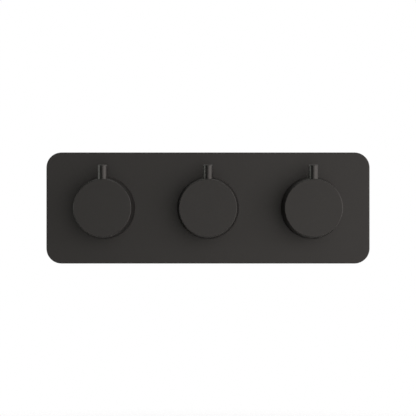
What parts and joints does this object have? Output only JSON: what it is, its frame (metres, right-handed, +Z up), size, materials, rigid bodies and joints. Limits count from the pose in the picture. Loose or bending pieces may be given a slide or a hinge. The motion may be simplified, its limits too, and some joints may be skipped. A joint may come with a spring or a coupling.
{
  "type": "thermostatic shower valve",
  "caption": "Concealed thermostatic shower valve: flat rounded cover plate with tapered round knobs and upright lever pins, over a brass body with threaded ports.",
  "frame": {"origin": "centre of the cover plate's back rim, on the finished wall", "axes": "+X to the right along the plate, +Y into the wall, +Z up; the knobs point along -Y"},
  "size_m": [0.32, 0.1452, 0.11],
  "materials": {
    "gunmetal_coated_brass": "matt dark gunmetal",
    "machined_brass": "machined",
    "cast_brass": "sand cast, machined at the ports",
    "stainless_steel": "bright",
    "spring_steel": "drawn wire",
    "galvanised_steel": "zinc plated sheet",
    "foam_seal": "closed cell foam",
    "black_rubber": "moulded rubber",
    "red_fibre": "pressed fibre",
    "white_ceramic": "lapped alumina",
    "moulded_plastic": "moulded plastic",
    "copper": "drawn copper"
  },
  "bodies": {
    "root": {"bracket_screws": "stainless_steel", "cage_seals": "black_rubber", "check_cages": "moulded_plastic", "check_springs": "spring_steel", "cover_plate": "gunmetal_coated_brass", "fixed_disc_left": "white_ceramic", "fixed_disc_right": "white_ceramic", "flow_base_seals": "black_rubber", "flow_housing_left": "machined_brass", "flow_housing_right": "machined_brass", "gallery_plugs": "machined_brass", "gallery_seals": "red_fibre", "hot_seat_ring": "machined_brass", "inlet_strainers": "stainless_steel", "mounting_bracket": "galvanised_steel", "plate_ring_nuts": "machined_brass", "plate_sleeve_seals": "black_rubber", "plate_wall_seal": "foam_seal", "return_spring": "spring_steel", "sleeve_centre": "machined_brass", "sleeve_left": "machined_brass", "sleeve_right": "machined_brass", "spindle_seals": "black_rubber", "temperature_stop_ring": "moulded_plastic", "thermo_bonnet": "machined_brass", "thermo_cage": "moulded_plastic", "valve_body": "cast_brass"},
    "temperature_control": {"knob_centre": "gunmetal_coated_brass", "knob_pin_centre": "gunmetal_coated_brass", "knob_grub_screw_centre": "stainless_steel", "knob_carrier_centre": "machined_brass", "carrier_screw_centre": "stainless_steel", "circlip_centre": "stainless_steel", "thermo_spindle": "machined_brass"},
    "temperature_drive": {"thermo_drive_nut": "machined_brass", "overload_spring": "spring_steel", "overload_plunger": "stainless_steel", "wax_piston": "stainless_steel"},
    "temperature_shuttle": {"wax_element": "copper", "regulating_shuttle": "moulded_plastic", "shuttle_seal": "black_rubber"},
    "outlet_left_control": {"knob_left": "gunmetal_coated_brass", "knob_pin_left": "gunmetal_coated_brass", "knob_grub_screw_left": "stainless_steel", "knob_carrier_left": "machined_brass", "carrier_screw_left": "stainless_steel", "circlip_left": "stainless_steel", "flow_spindle_left": "machined_brass", "turning_disc_left": "white_ceramic"},
    "outlet_right_control": {"knob_right": "gunmetal_coated_brass", "knob_pin_right": "gunmetal_coated_brass", "knob_grub_screw_right": "stainless_steel", "knob_carrier_right": "machined_brass", "carrier_screw_right": "stainless_steel", "circlip_right": "stainless_steel", "flow_spindle_right": "machined_brass", "turning_disc_right": "white_ceramic"},
    "hot_check": {"check_poppet_hot": "moulded_plastic"},
    "cold_check": {"check_poppet_cold": "moulded_plastic"}
  },
  "joints": [
    {"name": "temperature_turn", "type": "hinge", "parent": "root", "child": "temperature_control", "pos_m": [0, 0, 0], "axis": [0, -1, 0], "range_deg": [-165, 40]},
    {"name": "temperature_drive_slide", "type": "slide", "parent": "root", "child": "temperature_drive", "axis": [0, -1, 0], "range_m": [-0.00185, 0.00046]},
    {"name": "temperature_shuttle_slide", "type": "slide", "parent": "root", "child": "temperature_shuttle", "axis": [0, -1, 0], "range_m": [-0.00035, 0.0001], "deforming": ["return_spring"]},
    {"name": "outlet_left_turn", "type": "hinge", "parent": "root", "child": "outlet_left_control", "pos_m": [-0.1027, 0, 0], "axis": [0, -1, 0], "range_deg": [0, 90]},
    {"name": "outlet_right_turn", "type": "hinge", "parent": "root", "child": "outlet_right_control", "pos_m": [0.1027, 0, 0], "axis": [0, -1, 0], "range_deg": [0, 90]},
    {"name": "hot_check_lift", "type": "slide", "parent": "root", "child": "hot_check", "axis": [0, 0, 1], "range_m": [0, 0.003], "stiffness_N_per_m": 100, "springref_m": -0.003, "deforming": ["check_springs"]},
    {"name": "cold_check_lift", "type": "slide", "parent": "root", "child": "cold_check", "axis": [0, 0, 1], "range_m": [0, 0.003], "stiffness_N_per_m": 100, "springref_m": -0.003, "deforming": ["check_springs"]}
  ],
  "couplings": [
    {"joint": "temperature_drive_slide", "follows": "temperature_turn", "m_per_rad": 0.00063662},
    {"joint": "temperature_shuttle_slide", "follows": "temperature_turn", "m_per_rad": 0.00011459}
  ]
}
